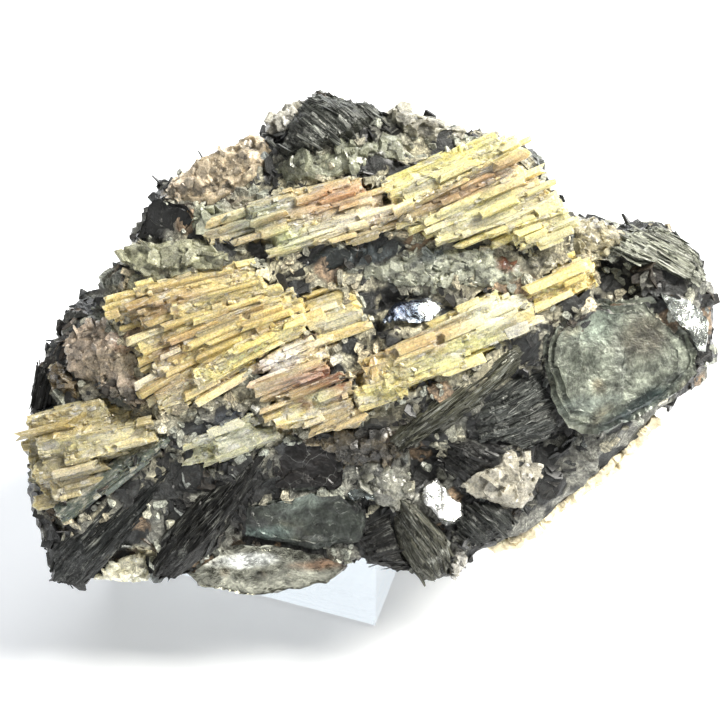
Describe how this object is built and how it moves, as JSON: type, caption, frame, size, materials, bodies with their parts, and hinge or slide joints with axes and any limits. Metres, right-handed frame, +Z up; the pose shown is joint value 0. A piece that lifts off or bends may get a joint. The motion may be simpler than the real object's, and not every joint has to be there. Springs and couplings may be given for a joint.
{
  "type": "pycnite topaz",
  "caption": "Hand specimen of columnar pycnite topaz with dark mica books and grey quartz, resting on a clear display block.",
  "frame": {"origin": "middle of the underside of the box around the stone and its block, on the surface that the block stands on", "axes": "+Z up; the display face looks towards -Y and 40 degrees upwards; +X to the right as one looks at that face"},
  "size_m": [0.1102, 0.074, 0.0833],
  "materials": {
    "topaz": "translucent, striated along the columns, stained in places",
    "topaz_grey_green": "translucent, striated",
    "mica": "dark, thin-sheeted, pearly on the sheets",
    "mica_bright": "thin bright sheets that mirror the light",
    "quartz": "translucent grey, glassy on broken faces",
    "rind": "earthy, cream to tan",
    "matrix": "granular mix of mica flakes and quartz grains",
    "clear_block": "clear, polished"
  },
  "bodies": {
    "root": {"clay_rind": "rind", "display_block": "clear_block", "matrix": "matrix", "mica_blade_upper": "mica", "mica_book_back_left": "mica", "mica_book_back_right": "mica", "mica_book_bottom": "mica", "mica_book_dark_red": "mica", "mica_book_keel": "mica", "mica_book_large": "mica", "mica_book_left_shoulder": "mica", "mica_book_top_corner": "mica", "mica_book_top_right": "mica", "mica_cheek_left": "mica", "mica_crown": "mica", "mica_eye": "mica", "mica_fang": "mica", "mica_flake_left": "mica", "mica_flank": "mica", "mica_hem": "mica", "mica_knot": "mica", "mica_sash": "mica", "mica_scale_bright": "mica_bright", "mica_shard_lower": "mica", "mica_sheet_bright_right": "mica_bright", "mica_sheet_mirror": "mica_bright", "mica_tongue": "mica", "mica_wedge_bottom": "mica", "quartz_band": "quartz", "quartz_block_upper": "quartz", "quartz_brow": "quartz", "quartz_crust_left": "quartz", "quartz_grain_foot": "quartz", "quartz_grain_middle": "quartz", "quartz_grain_pale": "quartz", "quartz_grain_right": "quartz", "quartz_grain_toe": "quartz", "quartz_grains_below": "quartz", "quartz_grains_left": "quartz", "quartz_horn": "quartz", "quartz_ledge_left": "quartz", "quartz_lump_brown": "quartz", "quartz_patch_tan": "quartz", "quartz_top": "quartz", "topaz_chips_below": "topaz", "topaz_columns_back": "topaz", "topaz_columns_inner_step": "topaz", "topaz_columns_left": "topaz", "topaz_columns_low_left": "topaz", "topaz_columns_lower_right": "topaz", "topaz_columns_middle": "topaz", "topaz_columns_top_right": "topaz", "topaz_columns_upper_left": "topaz", "topaz_grey_column": "topaz_grey_green", "topaz_stub_right": "topaz"}
  },
  "joints": []
}
